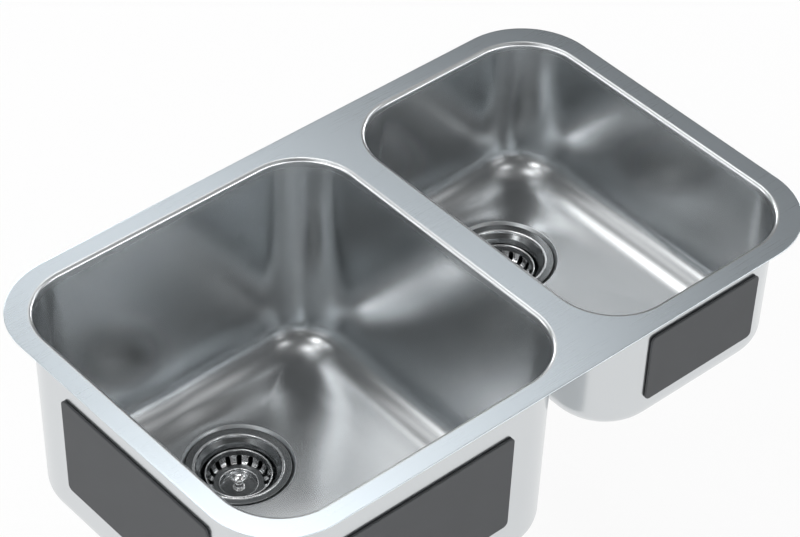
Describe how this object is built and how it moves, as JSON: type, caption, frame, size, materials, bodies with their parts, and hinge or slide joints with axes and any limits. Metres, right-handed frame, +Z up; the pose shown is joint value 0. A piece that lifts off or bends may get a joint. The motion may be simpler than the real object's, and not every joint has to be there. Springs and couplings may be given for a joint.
{
  "type": "double bowl kitchen sink",
  "caption": "Undermount double bowl kitchen sink: a deep and a shallow pressed steel bowl share one flat flange, each with a lift-out basket strainer and tailpiece.",
  "frame": {"origin": "middle of the divider between the bowls, on the top face of the flange", "axes": "+X along the long axis from the large bowl to the small one, +Y towards the rear where the drains are, +Z up out of the bowls"},
  "size_m": [0.744, 0.456, 0.4246],
  "materials": {
    "brushed_steel": "satin brushed stainless sheet",
    "polished_steel": "polished stainless",
    "plated_metal": "chrome plate over brass or zinc, slightly dull",
    "black_rubber": "moulded black rubber",
    "sound_pad": "matte sound-deadening sheet",
    "fibre_board": "pressed fibre",
    "white_plastic": "moulded polyethylene"
  },
  "bodies": {
    "sink": {"deck_flange": "brushed_steel", "large_bowl": "brushed_steel", "large_floor_pad": "sound_pad", "large_end_pad": "sound_pad", "large_front_pad": "sound_pad", "large_rear_pad": "sound_pad", "large_strainer_body": "polished_steel", "large_flange_seal": "black_rubber", "large_clamp_gasket": "black_rubber", "large_friction_ring": "fibre_board", "large_locknut": "plated_metal", "large_tailpiece_washer": "white_plastic", "large_tailpiece": "plated_metal", "large_coupling_nut": "plated_metal", "small_bowl": "brushed_steel", "small_floor_pad": "sound_pad", "small_end_pad": "sound_pad", "small_front_pad": "sound_pad", "small_rear_pad": "sound_pad", "small_strainer_body": "polished_steel", "small_flange_seal": "black_rubber", "small_clamp_gasket": "black_rubber", "small_friction_ring": "fibre_board", "small_locknut": "plated_metal", "small_tailpiece_washer": "white_plastic", "small_tailpiece": "plated_metal", "small_coupling_nut": "plated_metal"},
    "large_basket_lift": {"large_snap_ring": "black_rubber"},
    "large_basket_turn": {"large_basket": "polished_steel", "large_basket_post": "polished_steel", "large_stopper": "black_rubber", "large_stopper_retainer": "plated_metal"},
    "small_basket_lift": {"small_snap_ring": "black_rubber"},
    "small_basket_turn": {"small_basket": "polished_steel", "small_basket_post": "polished_steel", "small_stopper": "black_rubber", "small_stopper_retainer": "plated_metal"}
  },
  "joints": [
    {"name": "large_basket_slide", "type": "slide", "parent": "sink", "child": "large_basket_lift", "axis": [0, 0, 1], "range_m": [0, 0.32]},
    {"name": "large_basket_spin", "type": "hinge", "parent": "large_basket_lift", "child": "large_basket_turn", "pos_m": [-0.212, 0.0865, -0.257], "axis": [0, 0, 1], "continuous": true},
    {"name": "small_basket_slide", "type": "slide", "parent": "sink", "child": "small_basket_lift", "axis": [0, 0, 1], "range_m": [0, 0.24]},
    {"name": "small_basket_spin", "type": "hinge", "parent": "small_basket_lift", "child": "small_basket_turn", "pos_m": [0.1545, 0.0865, -0.176], "axis": [0, 0, 1], "continuous": true}
  ]
}
